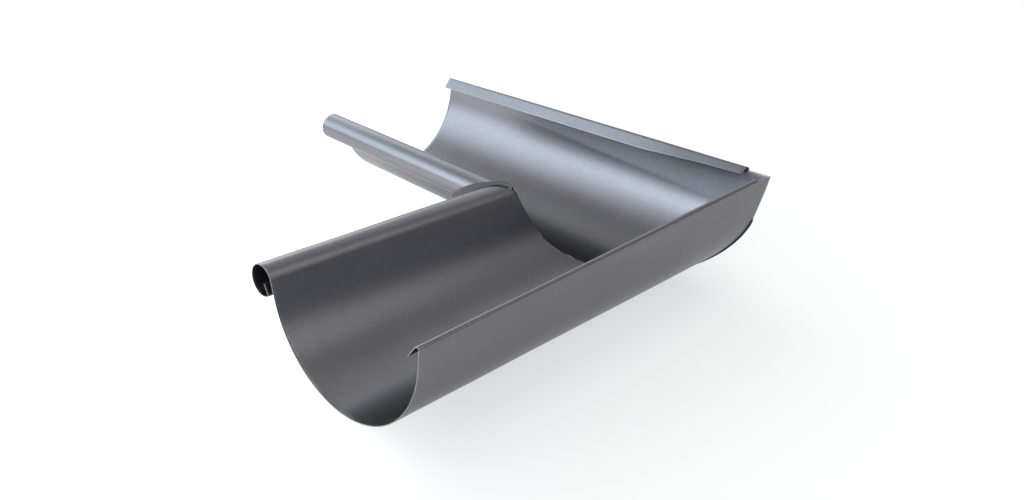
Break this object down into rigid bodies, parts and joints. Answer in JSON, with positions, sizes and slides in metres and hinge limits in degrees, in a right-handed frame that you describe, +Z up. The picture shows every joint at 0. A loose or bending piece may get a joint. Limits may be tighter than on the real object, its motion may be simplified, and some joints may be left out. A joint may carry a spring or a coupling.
{
  "type": "internal gutter angle",
  "caption": "Half-round steel gutter angle for an inside corner: two mitred arms at 90 degrees, rolled front bead, folded back lip, open ends.",
  "frame": {"origin": "centre of the bounding box at floor level, under the trough side of the inner corner", "axes": "+Z up out of the open trough; the front arm runs along -Y and the side arm along -X from their shared corner at +X +Y"},
  "size_m": [0.3288, 0.3288, 0.0837],
  "materials": {
    "coated_sheet": "dark silver metallic coil coating, semi-gloss, with a fine flake"
  },
  "bodies": {
    "root": {"front_arm": "coated_sheet", "side_arm": "coated_sheet"}
  },
  "joints": []
}
